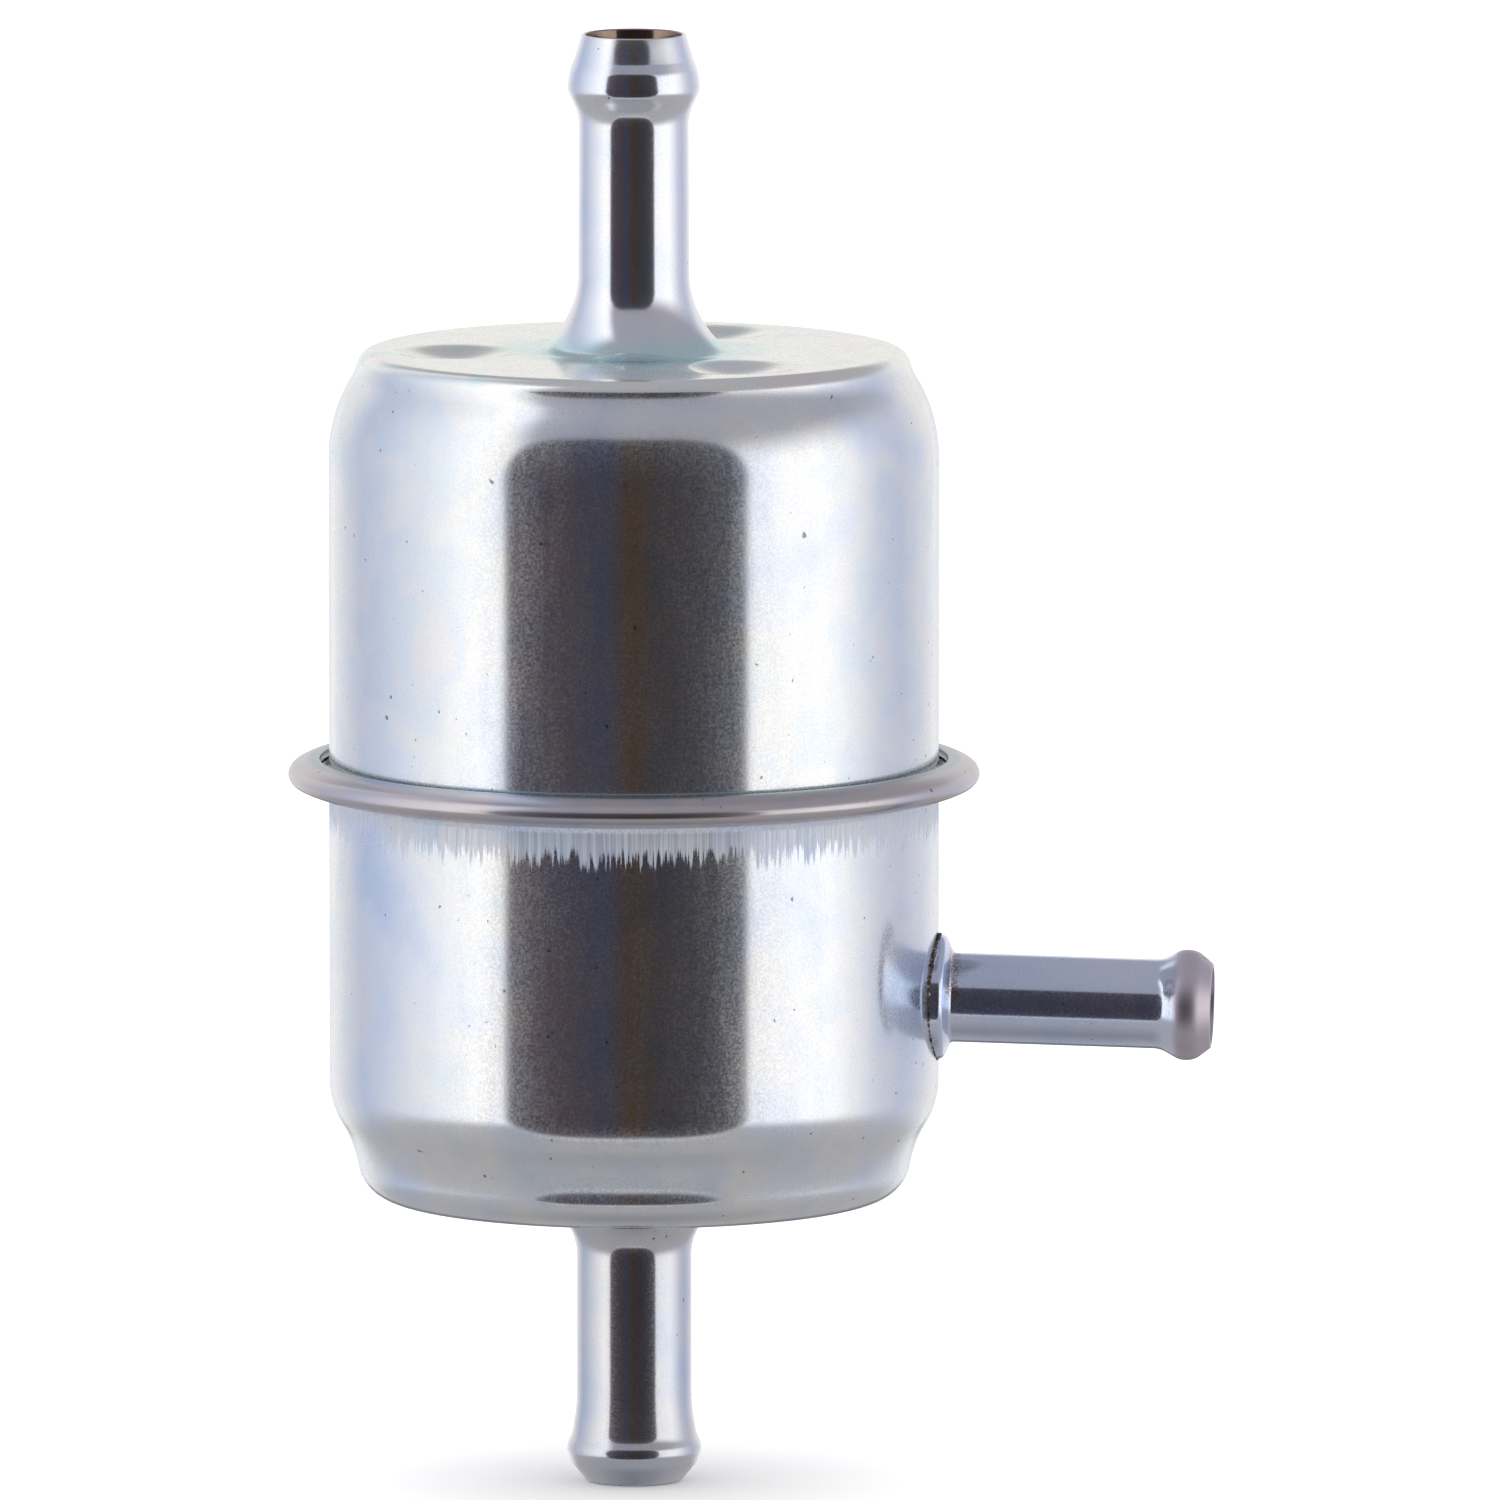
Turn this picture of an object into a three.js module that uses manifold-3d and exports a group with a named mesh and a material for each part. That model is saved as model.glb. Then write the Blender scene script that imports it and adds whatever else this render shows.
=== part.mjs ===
import * as THREE from 'three';
import { mergeVertices } from 'three/addons/utils/BufferGeometryUtils.js';
import Module from 'manifold-3d';

const wasm = await Module();
wasm.setup();

// An in-line fuel filter: two deep-drawn steel cans, each with its own hose nipple, joined by a
// rolled seam, with a vapour-return nipple brazed into the side and a pleated paper element inside.
// Millimetres. +Z runs up the filter's axis, z = 0 is the middle of the rolled seam, and the
// return nipple points along +X.

const DEGREE = Math.PI / 180;
const CAN_FACETS = 36;
const TUBE_FACETS = 20;

// Cans
const CAN_RADIUS = 21.5;
const WALL = 0.6;
const UPPER_FLAT_Z = 30.1;
const LOWER_FLAT_Z = -30;
const FLANGE_TOP_Z = 0.5;
const FLANGE_RADIUS = 23.35;
const FLANGE_BEND = 0.5;

// Hose nipples
const INLET_STEM_RADIUS = 3.95;
const INLET_TIP_Z = 52.5;
const INLET_MOUTH_RADIUS = 3.4;
const OUTLET_STEM_RADIUS = 4.05;
const OUTLET_TIP_Z = -50.3;
const OUTLET_MOUTH_RADIUS = 3.1;

// Dimples pressed into the top, which hold the element down. The cans are rolled together at any
// angle, so the dimples stand a few degrees round from the return nipple's plane.
const DIMPLE_COUNT = 3;
const DIMPLE_CIRCLE_RADIUS = 12.6;
const DIMPLE_RADIUS = 4.3;
const DIMPLE_DEPTH = 0.8;
const DIMPLE_PHASE = 188 * DEGREE;

// Return nipple
const RETURN_Z = -15.63;
const RETURN_TILT = 1.4 * DEGREE;
const RETURN_TUBE_RADIUS = 3.15;
const RETURN_BORE_RADIUS = 2.45;
const RETURN_HOLE_RADIUS = 3.4;
const RETURN_TIP_X = 40.9;
const COLLAR_RADIUS = 4.4;
const BRAZE_THICKNESS = 0.3;

// Filter element
const ELEMENT_RADIUS = 17.5;
const SHEET = 0.4;
const ELEMENT_TOP_Z = 28.5;
const ELEMENT_BOTTOM_Z = -27.5;
const CAP_RIM_HEIGHT = 3;
const POTTING_THICKNESS = 1.2;
const CORE_RADIUS = 7.4;
const OUTLET_OPENING_RADIUS = 6;
const PLEAT_COUNT = 36;
const PLEAT_OUTER_RADIUS = 16.4;
const PLEAT_INNER_RADIUS = 7.8;
const FOLD_DEPTH = 2.4;
const FIT_GAP = 0.1;

const POTTING_TOP_Z = ELEMENT_TOP_Z - SHEET - FIT_GAP;
const POTTING_BOTTOM_Z = ELEMENT_BOTTOM_Z + SHEET + FIT_GAP;
const PACK_TOP_Z = POTTING_TOP_Z - POTTING_THICKNESS - FIT_GAP;
const PACK_BOTTOM_Z = POTTING_BOTTOM_Z + POTTING_THICKNESS + FIT_GAP;

// Outline points are (radius, height) in the half plane that is turned about the axis.
const at = (radius, height) => new THREE.Vector2(radius, height);

// Points round an arc, with angles in degrees from the outward direction towards the upward one.
// A stretch is an ellipse where the two radii differ.
function arc(centre, radius, from, to, steps, riseRadius = radius) {
  const points = [];
  for (let i = 0; i <= steps; i += 1) {
    const angle = (from + ((to - from) * i) / steps) * DEGREE;
    points.push(at(centre.x + radius * Math.cos(angle), centre.y + riseRadius * Math.sin(angle)));
  }
  return points;
}

// A closed outline turned about the Z axis.
function turned(outline, facets = CAN_FACETS) {
  return new THREE.LatheGeometry([...outline, outline[0]], facets).rotateX(Math.PI / 2);
}

// A closed outline turned about the X axis, with its heights running along +X.
function turnedAlongX(outline) {
  return new THREE.LatheGeometry([...outline, outline[0]], TUBE_FACETS).rotateZ(-Math.PI / 2);
}

// A plain round bar along X, for cutting.
function barAlongX(radius, from, to, facets = TUBE_FACETS) {
  return new THREE.CylinderGeometry(radius, radius, to - from, facets)
    .rotateZ(-Math.PI / 2)
    .translate((from + to) / 2, 0, 0);
}

// A solid cylinder standing on the filter's axis, faceted as the cans are.
function postOnAxis(radius, height) {
  return new THREE.CylinderGeometry(radius, radius, height, CAN_FACETS).rotateX(Math.PI / 2);
}

function toSolid(geometry) {
  const bare = geometry.clone();
  bare.deleteAttribute('normal');
  bare.deleteAttribute('uv');
  const merged = mergeVertices(bare);
  return new wasm.Manifold(new wasm.Mesh({
    numProp: 3,
    vertProperties: new Float32Array(merged.attributes.position.array),
    triVerts: new Uint32Array(merged.index.array),
  }));
}

function toGeometry(solid) {
  const mesh = solid.getMesh();
  const geometry = new THREE.BufferGeometry();
  geometry.setAttribute('position', new THREE.BufferAttribute(mesh.vertProperties, 3));
  geometry.setIndex(new THREE.BufferAttribute(mesh.triVerts, 1));
  geometry.computeVertexNormals();
  return geometry;
}

const zincPlate = new THREE.MeshStandardMaterial({ color: 0xc4c8d2, roughness: 0.22, metalness: 1 });
const brazeMetal = new THREE.MeshStandardMaterial({ color: 0x6e5846, roughness: 0.55, metalness: 0.8 });
const brass = new THREE.MeshStandardMaterial({ color: 0xc9a24e, roughness: 0.3, metalness: 1 });
const tinnedSteel = new THREE.MeshStandardMaterial({ color: 0xa9aaa8, roughness: 0.35, metalness: 1 });
const nitrile = new THREE.MeshStandardMaterial({ color: 0x1d1d1f, roughness: 0.7, metalness: 0 });
const plastisol = new THREE.MeshStandardMaterial({ color: 0xb33a2a, roughness: 0.5, metalness: 0 });
const filterPaper = new THREE.MeshStandardMaterial({ color: 0xd9b877, roughness: 0.9, metalness: 0 });

const fuelFilter = new THREE.Group();

function addPart(name, geometry, material) {
  const mesh = new THREE.Mesh(geometry, material);
  mesh.name = name;
  fuelFilter.add(mesh);
  return mesh;
}

// Upper can: one drawing from flange to hose tip. The wall closes in over a broad shoulder, a short
// steep band and a small corner, and the flat top sweeps up into the inlet nipple.
const UPPER_SHOULDER = { centre: at(CAN_RADIUS - 9, 22.99), radius: 9, end: 31 };
const UPPER_WAIST = { centre: at(23.352, 30.177), radius: 4, end: 14 };
const UPPER_CORNER = { centre: at(18.351, UPPER_FLAT_Z - 1.15), radius: 1.15 };
const INLET_FOOT_RADIUS = 1.9;
const INLET_SWEEP = { radius: 6.2, bend: 50 };

function upperCanOutline() {
  const bendCentre = at(CAN_RADIUS + FLANGE_BEND, FLANGE_TOP_Z + FLANGE_BEND);
  const sweepSide = INLET_SWEEP.bend * DEGREE;
  const footHeight = INLET_FOOT_RADIUS * (1 - Math.sin(sweepSide));
  const sweepCentre = at(
    INLET_STEM_RADIUS + INLET_SWEEP.radius,
    UPPER_FLAT_Z + footHeight + INLET_SWEEP.radius * Math.sin(sweepSide),
  );
  const footCentre = at(
    sweepCentre.x - (INLET_SWEEP.radius - INLET_FOOT_RADIUS) * Math.cos(sweepSide),
    UPPER_FLAT_Z + INLET_FOOT_RADIUS,
  );
  const split = 180 + INLET_SWEEP.bend;
  const boreRadius = INLET_STEM_RADIUS - WALL;
  const barb = [
    at(3.84, 45.9), at(4.02, 47), at(4.42, 47.9), at(4.65, 48.6), at(4.42, 49.9), at(4.1, 50.65),
  ];
  return [
    at(FLANGE_RADIUS, FLANGE_TOP_Z),
    ...arc(bendCentre, FLANGE_BEND, 270, 180, 3),
    ...arc(UPPER_SHOULDER.centre, UPPER_SHOULDER.radius, 0, UPPER_SHOULDER.end, 4),
    ...arc(UPPER_WAIST.centre, UPPER_WAIST.radius, 180 + UPPER_SHOULDER.end, 180 + UPPER_WAIST.end, 2),
    ...arc(UPPER_CORNER.centre, UPPER_CORNER.radius, UPPER_WAIST.end, 90, 4),
    ...arc(footCentre, INLET_FOOT_RADIUS, 270, split, 2),
    ...arc(sweepCentre, INLET_SWEEP.radius, split, 180, 4).slice(1),
    ...barb,
    at(INLET_MOUTH_RADIUS + 0.4, 51.9),
    at(INLET_MOUTH_RADIUS + 0.25, INLET_TIP_Z),
    at(INLET_MOUTH_RADIUS, INLET_TIP_Z),
    at(boreRadius, INLET_TIP_Z - 0.8),
    ...arc(sweepCentre, INLET_SWEEP.radius + WALL, 180, split, 3),
    ...arc(footCentre, INLET_FOOT_RADIUS + WALL, split, 270, 2).slice(1),
    ...arc(UPPER_CORNER.centre, UPPER_CORNER.radius - WALL, 90, UPPER_WAIST.end, 2),
    ...arc(UPPER_WAIST.centre, UPPER_WAIST.radius + WALL, 180 + UPPER_WAIST.end, 180 + UPPER_SHOULDER.end, 1),
    ...arc(UPPER_SHOULDER.centre, UPPER_SHOULDER.radius - WALL, UPPER_SHOULDER.end, 0, 3),
    ...arc(bendCentre, FLANGE_BEND + WALL, 180, 270, 3),
    at(FLANGE_RADIUS, FLANGE_TOP_Z - WALL),
  ];
}

// A round dimple in sheet of the can's thickness, as a shallow dish with its rim flush with the top.
function dimpleDish() {
  const bowl = (DIMPLE_RADIUS ** 2 + DIMPLE_DEPTH ** 2) / (2 * DIMPLE_DEPTH);
  const spread = Math.asin(DIMPLE_RADIUS / bowl) / DEGREE;
  const centre = at(0, bowl - DIMPLE_DEPTH);
  const rim = DIMPLE_RADIUS + 2 * FIT_GAP;
  const outline = [
    ...arc(centre, bowl + WALL, 270, 270 + spread, 3),
    at(rim, -WALL),
    at(rim, 0),
    ...arc(centre, bowl, 270 + spread, 270, 3),
  ];
  return new THREE.LatheGeometry(outline, TUBE_FACETS).rotateX(Math.PI / 2);
}

function upperCan() {
  let can = toSolid(turned(upperCanOutline()));
  const punch = new THREE.CylinderGeometry(DIMPLE_RADIUS, DIMPLE_RADIUS, 4 * WALL, TUBE_FACETS);
  punch.rotateX(Math.PI / 2);
  for (let i = 0; i < DIMPLE_COUNT; i += 1) {
    const angle = DIMPLE_PHASE + (i * 2 * Math.PI) / DIMPLE_COUNT;
    const x = DIMPLE_CIRCLE_RADIUS * Math.cos(angle);
    const y = DIMPLE_CIRCLE_RADIUS * Math.sin(angle);
    can = can.subtract(toSolid(punch.clone().translate(x, y, UPPER_FLAT_Z)));
    can = can.add(toSolid(dimpleDish().translate(x, y, UPPER_FLAT_Z)));
  }
  return toGeometry(can);
}

// Lower can: its flange is rolled up and back over the upper can's flange, so one section makes the
// hem, the wall, the stepped shoulder and the outlet nipple.
const HEM = { top: at(22.3, 0.04), bottom: at(22.1, 0.04), edge: 24.38, rise: 1.185, drop: 1.06 };
const HEM_SLOT = { lip: 22.15, inner: 21.95, end: 23.2, top: 0.62, bottom: -0.42 };
const HEM_FILLET = 0.6;
const LOWER_SHOULDER = { centre: at(CAN_RADIUS - 5, -21.81), radius: 5, end: -31 };
const LOWER_WAIST = { centre: at(27.365, -28.968), radius: 8, end: -9.5 };
const LOWER_CORNER = { centre: at(16.879, LOWER_FLAT_Z + 2.6), radius: 2.6 };
const OUTLET_SWEEP_RADIUS = 4.2;

function lowerCanOutline() {
  const filletCentre = at(HEM.bottom.x, HEM.bottom.y - HEM.drop - HEM_FILLET);
  const slotMiddle = at(HEM_SLOT.end, (HEM_SLOT.top + HEM_SLOT.bottom) / 2);
  const slotRadius = (HEM_SLOT.top - HEM_SLOT.bottom) / 2;
  const innerBendRadius = HEM_SLOT.inner - CAN_RADIUS + WALL;
  const innerBend = at(HEM_SLOT.inner, HEM_SLOT.bottom - innerBendRadius);
  const sweepCentre = at(OUTLET_STEM_RADIUS + OUTLET_SWEEP_RADIUS, LOWER_FLAT_Z - OUTLET_SWEEP_RADIUS);
  const boreRadius = OUTLET_STEM_RADIUS - WALL;
  const bead = [
    at(4.12, -44.9), at(4.34, -46.2), at(4.6, -47.3), at(4.75, -48), at(4.6, -48.75),
    at(4.28, -49.35), at(3.8, -49.9), at(3.4, OUTLET_TIP_Z), at(OUTLET_MOUTH_RADIUS, OUTLET_TIP_Z),
  ];
  return [
    ...arc(LOWER_CORNER.centre, LOWER_CORNER.radius - WALL, 270, 360 + LOWER_WAIST.end, 2),
    ...arc(LOWER_WAIST.centre, LOWER_WAIST.radius + WALL, 180 + LOWER_WAIST.end, 180 + LOWER_SHOULDER.end, 1),
    ...arc(LOWER_SHOULDER.centre, LOWER_SHOULDER.radius - WALL, LOWER_SHOULDER.end, 0, 2),
    ...arc(innerBend, innerBendRadius, 180, 90, 3),
    ...arc(slotMiddle, slotRadius, -90, 90, 4),
    at(HEM_SLOT.lip, HEM_SLOT.top),
    at(HEM_SLOT.lip, HEM.top.y + HEM.rise - FIT_GAP),
    ...arc(HEM.top, HEM.edge - HEM.top.x, 90, 0, 5, HEM.rise),
    ...arc(HEM.bottom, HEM.edge - HEM.bottom.x, 0, -90, 5, HEM.drop).slice(1),
    ...arc(filletCentre, HEM_FILLET, 90, 180, 2).slice(1),
    ...arc(LOWER_SHOULDER.centre, LOWER_SHOULDER.radius, 0, LOWER_SHOULDER.end, 3),
    ...arc(LOWER_WAIST.centre, LOWER_WAIST.radius, 180 + LOWER_SHOULDER.end, 180 + LOWER_WAIST.end, 2),
    ...arc(LOWER_CORNER.centre, LOWER_CORNER.radius, LOWER_WAIST.end, -90, 4),
    ...arc(sweepCentre, OUTLET_SWEEP_RADIUS, 90, 180, 5),
    ...bead,
    at(boreRadius, OUTLET_TIP_Z + 2),
    ...arc(sweepCentre, OUTLET_SWEEP_RADIUS + WALL, 180, 90, 3),
  ].reverse();
}

function lowerCan() {
  const hole = barAlongX(RETURN_HOLE_RADIUS, CAN_RADIUS / 2, CAN_RADIUS * 2).translate(0, 0, RETURN_Z);
  return toGeometry(toSolid(turned(lowerCanOutline())).subtract(toSolid(hole)));
}

// Seam seal: a thin rubber ring squeezed between the two flanges.
function seamSeal() {
  const bottom = HEM_SLOT.bottom + FIT_GAP / 2;
  const top = FLANGE_TOP_Z - WALL - FIT_GAP / 2;
  const inner = HEM_SLOT.inner + FIT_GAP;
  const outer = FLANGE_RADIUS - FIT_GAP;
  return turned([at(inner, bottom), at(outer, bottom), at(outer, top), at(inner, top)]);
}

// The return nipple and its braze are turned along X and share the tilt that the tube was set at.
function placeReturn(geometry) {
  return geometry
    .translate(-CAN_RADIUS, 0, 0)
    .rotateY(RETURN_TILT)
    .translate(CAN_RADIUS, 0, RETURN_Z);
}

// Return nipple: a tube whose upset collar sits on the can, with a pilot through the wall and a
// rounded bead at the hose end.
const RETURN_BEAD = [
  at(3.35, 37.65), at(3.63, 38.2), at(3.82, 38.75), at(3.875, 39.2), at(3.8, 39.65), at(3.5, 40.2),
  at(3.15, 40.6),
];
const PILOT_DEPTH = 1.9;
const COLLAR_WIDTH = 0.75;
const COLLAR_ROUNDING = 0.3;

function returnNipple() {
  const pilotX = CAN_RADIUS - PILOT_DEPTH;
  const collarX = CAN_RADIUS + COLLAR_WIDTH;
  const outline = [
    at(RETURN_BORE_RADIUS, pilotX),
    at(RETURN_TUBE_RADIUS, pilotX),
    at(RETURN_TUBE_RADIUS, 36.9),
    ...RETURN_BEAD,
    at(2.95, RETURN_TIP_X),
    at(2.7, RETURN_TIP_X),
    at(2.6, 40.4),
    at(RETURN_BORE_RADIUS, 39.2),
  ];
  const tube = toSolid(placeReturn(turnedAlongX(outline)));
  const collarOutline = [
    at(RETURN_TUBE_RADIUS - WALL / 2, pilotX),
    at(COLLAR_RADIUS, pilotX),
    at(COLLAR_RADIUS, collarX - COLLAR_ROUNDING),
    at(COLLAR_RADIUS - COLLAR_ROUNDING, collarX),
    at(RETURN_TUBE_RADIUS - WALL / 2, collarX),
  ];
  const seat = toSolid(postOnAxis(CAN_RADIUS + BRAZE_THICKNESS + FIT_GAP, 3 * CAN_RADIUS));
  const collar = toSolid(placeReturn(turnedAlongX(collarOutline))).subtract(seat);
  return toGeometry(tube.add(collar));
}

// Braze: the filler that runs between the collar and the can, in a saddle-shaped ring.
function brazeRing() {
  const outline = [
    at(RETURN_HOLE_RADIUS, CAN_RADIUS - 2),
    at(COLLAR_RADIUS + 0.35, CAN_RADIUS - 2),
    at(COLLAR_RADIUS + 0.35, CAN_RADIUS + 1),
    at(RETURN_HOLE_RADIUS, CAN_RADIUS + 1),
  ];
  const ring = toSolid(placeReturn(turnedAlongX(outline)));
  const inside = toSolid(postOnAxis(CAN_RADIUS + FIT_GAP / 2, 3 * CAN_RADIUS));
  const outside = toSolid(postOnAxis(CAN_RADIUS + BRAZE_THICKNESS, 3 * CAN_RADIUS));
  return toGeometry(ring.intersect(outside).subtract(inside));
}

// Return restrictor: a brass plug in the return tube with a small metering hole.
function returnRestrictor() {
  const outer = RETURN_BORE_RADIUS - FIT_GAP;
  const meteringRadius = 0.75;
  const start = CAN_RADIUS - 1;
  const end = start + 5;
  const countersink = 0.8;
  const outline = [
    at(meteringRadius, start),
    at(outer, start),
    at(outer, end),
    at(meteringRadius + countersink, end),
    at(meteringRadius, end - countersink),
  ];
  return placeReturn(turnedAlongX(outline));
}

// Closed end cap: a disc with a turned-down rim, under the three dimples.
function closedEndCap() {
  const rimBottom = ELEMENT_TOP_Z - CAP_RIM_HEIGHT;
  const corner = at(ELEMENT_RADIUS - 2 * SHEET, ELEMENT_TOP_Z - 2 * SHEET);
  return new THREE.LatheGeometry([
    at(0, ELEMENT_TOP_Z - SHEET),
    ...arc(corner, SHEET, 90, 0, 2),
    at(ELEMENT_RADIUS - SHEET, rimBottom),
    at(ELEMENT_RADIUS, rimBottom),
    ...arc(corner, 2 * SHEET, 0, 90, 3),
    at(0, ELEMENT_TOP_Z),
  ], CAN_FACETS).rotateX(Math.PI / 2);
}

// Open end cap: the same pressing with an outlet opening and a short collar turned up round it.
function openEndCap() {
  const rimTop = ELEMENT_BOTTOM_Z + CAP_RIM_HEIGHT;
  const corner = at(ELEMENT_RADIUS - 2 * SHEET, ELEMENT_BOTTOM_Z + 2 * SHEET);
  const collarTop = ELEMENT_BOTTOM_Z + 1.6;
  return turned([
    at(OUTLET_OPENING_RADIUS, ELEMENT_BOTTOM_Z),
    ...arc(corner, 2 * SHEET, -90, 0, 3),
    at(ELEMENT_RADIUS, rimTop),
    at(ELEMENT_RADIUS - SHEET, rimTop),
    ...arc(corner, SHEET, 0, -90, 2),
    at(OUTLET_OPENING_RADIUS + SHEET, ELEMENT_BOTTOM_Z + SHEET),
    at(OUTLET_OPENING_RADIUS + SHEET, collarTop),
    at(OUTLET_OPENING_RADIUS, collarTop),
  ]);
}

// Potting: the plastisol that seals the pleat ends into each cap.
function closedEndPotting() {
  const radius = ELEMENT_RADIUS - SHEET - FIT_GAP;
  const height = POTTING_THICKNESS;
  return postOnAxis(radius - 2 * SHEET, height).translate(0, 0, POTTING_TOP_Z - height / 2);
}

function openEndPotting() {
  const inner = OUTLET_OPENING_RADIUS + SHEET + FIT_GAP;
  const outer = ELEMENT_RADIUS - 3 * SHEET - FIT_GAP;
  const top = POTTING_BOTTOM_Z + POTTING_THICKNESS;
  return turned([at(inner, POTTING_BOTTOM_Z), at(outer, POTTING_BOTTOM_Z), at(outer, top), at(inner, top)]);
}

// Pleated paper: a ring folded to and fro, as one closed strip. The walls stand nearly on edge, so
// a fold measured along a radius is several times as deep as the paper is thick.
function pleatOutline(tipRadius, rootRadius) {
  const points = [];
  const half = Math.PI / PLEAT_COUNT;
  for (let i = 0; i < PLEAT_COUNT; i += 1) {
    const tip = i * 2 * half;
    points.push(at(tipRadius * Math.cos(tip), tipRadius * Math.sin(tip)));
    points.push(at(rootRadius * Math.cos(tip + half), rootRadius * Math.sin(tip + half)));
  }
  return points;
}

function pleatedPaper() {
  const strip = new THREE.Shape(pleatOutline(PLEAT_OUTER_RADIUS, PLEAT_INNER_RADIUS + FOLD_DEPTH));
  strip.holes.push(new THREE.Path(pleatOutline(PLEAT_OUTER_RADIUS - FOLD_DEPTH, PLEAT_INNER_RADIUS)));
  const depth = PACK_TOP_Z - PACK_BOTTOM_Z;
  return new THREE.ExtrudeGeometry(strip, { depth, bevelEnabled: false }).translate(0, 0, PACK_BOTTOM_Z);
}

// Pleat clip: a steel channel pinched along one fold, where the two ends of the paper meet.
function pleatClip() {
  const metal = 0.3;
  const halfWidth = 1.05;
  const reach = 2.6;
  const back = PLEAT_OUTER_RADIUS + FIT_GAP;
  const section = new THREE.Shape([
    at(back - reach, -halfWidth),
    at(back + metal, -halfWidth),
    at(back + metal, halfWidth),
    at(back - reach, halfWidth),
    at(back - reach, halfWidth - metal),
    at(back, halfWidth - metal),
    at(back, metal - halfWidth),
    at(back - reach, metal - halfWidth),
  ]);
  const clearOfRims = CAP_RIM_HEIGHT;
  const bottom = PACK_BOTTOM_Z + clearOfRims;
  const depth = PACK_TOP_Z - clearOfRims - bottom;
  return new THREE.ExtrudeGeometry(section, { depth, bevelEnabled: false })
    .translate(0, 0, bottom)
    .rotateZ(Math.PI);
}

// Core tube: a perforated steel tube that keeps the pleats from folding inwards.
const CORE_HOLE_RADIUS = 1.6;
const CORE_ROWS = 5;
const CORE_FACETS = 24;
const CORE_HOLES_PER_ROW = 8;
const CORE_HOLE_FACETS = 8;

function coreTube() {
  const inner = CORE_RADIUS - SHEET - FIT_GAP;
  const outer = CORE_RADIUS - FIT_GAP;
  const wall = [
    at(inner, PACK_BOTTOM_Z),
    at(outer, PACK_BOTTOM_Z),
    at(outer, PACK_TOP_Z),
    at(inner, PACK_TOP_Z),
  ];
  let tube = toSolid(turned(wall, CORE_FACETS));
  const pitch = (PACK_TOP_Z - PACK_BOTTOM_Z) / CORE_ROWS;
  for (let row = 0; row < CORE_ROWS; row += 1) {
    const height = PACK_BOTTOM_Z + pitch * (row + 0.5);
    for (let i = 0; i < CORE_HOLES_PER_ROW / 2; i += 1) {
      const angle = ((i + (row % 2) / 2) * 2 * Math.PI) / CORE_HOLES_PER_ROW;
      const drill = barAlongX(CORE_HOLE_RADIUS, -2 * CORE_RADIUS, 2 * CORE_RADIUS, CORE_HOLE_FACETS);
      tube = tube.subtract(toSolid(drill.rotateZ(angle).translate(0, 0, height)));
    }
  }
  return toGeometry(tube);
}

// Outlet gasket: a rubber ring that seals the open end cap to the floor of the lower can.
function outletGasket() {
  const inner = 8.8;
  const outer = 12;
  const bottom = LOWER_FLAT_Z + WALL + FIT_GAP;
  const top = ELEMENT_BOTTOM_Z - FIT_GAP;
  return turned([at(inner, bottom), at(outer, bottom), at(outer, top), at(inner, top)]);
}

addPart('upper_can', upperCan(), zincPlate);
addPart('lower_can', lowerCan(), zincPlate);
addPart('seam_seal', seamSeal(), nitrile);
addPart('return_nipple', returnNipple(), zincPlate);
addPart('braze_ring', brazeRing(), brazeMetal);
addPart('return_restrictor', returnRestrictor(), brass);
addPart('closed_end_cap', closedEndCap(), tinnedSteel);
addPart('open_end_cap', openEndCap(), tinnedSteel);
addPart('closed_end_potting', closedEndPotting(), plastisol);
addPart('open_end_potting', openEndPotting(), plastisol);
addPart('pleated_paper', pleatedPaper(), filterPaper);
addPart('pleat_clip', pleatClip(), tinnedSteel);
addPart('core_tube', coreTube(), tinnedSteel);
addPart('outlet_gasket', outletGasket(), nitrile);

export default fuelFilter;
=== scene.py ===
# An in-line steel fuel filter with a side vapour-return nipple, put together from the outside in.
# Lengths are written in millimetres and turned into metres where a shape is drawn. +Z runs up the
# filter's axis from the middle of the rolled seam, and the return nipple points along +X.
import math
import random

import bmesh
import bpy
from mathutils import Matrix, Vector


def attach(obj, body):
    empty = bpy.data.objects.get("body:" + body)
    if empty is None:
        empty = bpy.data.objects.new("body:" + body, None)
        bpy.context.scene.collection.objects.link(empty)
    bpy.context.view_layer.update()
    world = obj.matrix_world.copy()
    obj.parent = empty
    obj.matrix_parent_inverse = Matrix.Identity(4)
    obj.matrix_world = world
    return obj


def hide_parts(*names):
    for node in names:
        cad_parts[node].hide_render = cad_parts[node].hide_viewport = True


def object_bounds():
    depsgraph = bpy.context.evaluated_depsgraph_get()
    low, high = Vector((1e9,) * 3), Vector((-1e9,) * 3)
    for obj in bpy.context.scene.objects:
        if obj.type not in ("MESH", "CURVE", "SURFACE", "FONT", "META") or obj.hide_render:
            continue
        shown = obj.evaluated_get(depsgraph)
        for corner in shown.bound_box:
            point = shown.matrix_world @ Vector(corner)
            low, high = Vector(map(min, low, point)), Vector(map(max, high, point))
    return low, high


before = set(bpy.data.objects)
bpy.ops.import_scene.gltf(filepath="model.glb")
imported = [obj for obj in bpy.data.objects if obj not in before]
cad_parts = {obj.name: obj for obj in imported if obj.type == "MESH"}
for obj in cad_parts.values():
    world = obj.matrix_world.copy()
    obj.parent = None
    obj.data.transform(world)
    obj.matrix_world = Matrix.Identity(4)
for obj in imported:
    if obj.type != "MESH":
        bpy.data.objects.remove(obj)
cad_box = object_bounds()
MM = 0.001

# ---- Upper can --------------------------------------------------------------------------------
# One cup of 0.6 mm steel sheet, deep drawn from its flange to the barbed inlet nipple and then
# bright zinc plated. The flange lies inside the rolled seam, and three round dimples are pressed
# in the flat top to hold the filter element down.

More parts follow.
